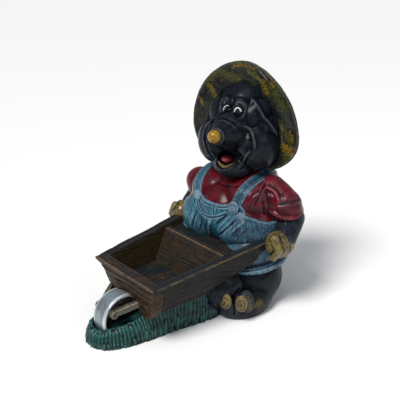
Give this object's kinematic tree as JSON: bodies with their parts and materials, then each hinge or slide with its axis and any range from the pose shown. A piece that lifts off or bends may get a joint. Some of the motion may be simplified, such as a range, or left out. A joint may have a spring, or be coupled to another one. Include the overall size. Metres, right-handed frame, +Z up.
{
  "type": "mole garden figure with wheelbarrow planter",
  "caption": "Cast and painted garden figure: a smiling mole in straw hat, red shirt and blue dungarees pushing a wooden wheelbarrow planter on a grass mound.",
  "frame": {"origin": "centre of the outer box in X and Y, at the flat underside, Z = 0", "axes": "+Z up; the mole and the wheelbarrow face -Y; the mole's left side is +X"},
  "size_m": [0.2272, 0.359, 0.3602],
  "materials": {
    "fur": "near-black painted resin under a glossy clear coat, grey dry-brushed ridges",
    "hat": "olive painted resin with ochre patches and a dark wash, satin to gloss",
    "shirt": "crimson painted resin, dark in the folds, glossy",
    "dungarees": "blue and turquoise painted resin with pale dry-brushed ridges",
    "claws": "ochre painted resin with a dark wash, glossy",
    "mouth": "crimson tongue and yellowish lip, painted resin, glossy",
    "barrow": "wood-grain moulded resin, brown with grey-blue rims and rubbed orange edges",
    "tyre": "silver painted resin, brushed, dark at the hub",
    "grass": "blue-green painted resin with dark grooves and pale blade edges"
  },
  "bodies": {
    "root": {"mole_figure": "fur"}
  },
  "joints": []
}
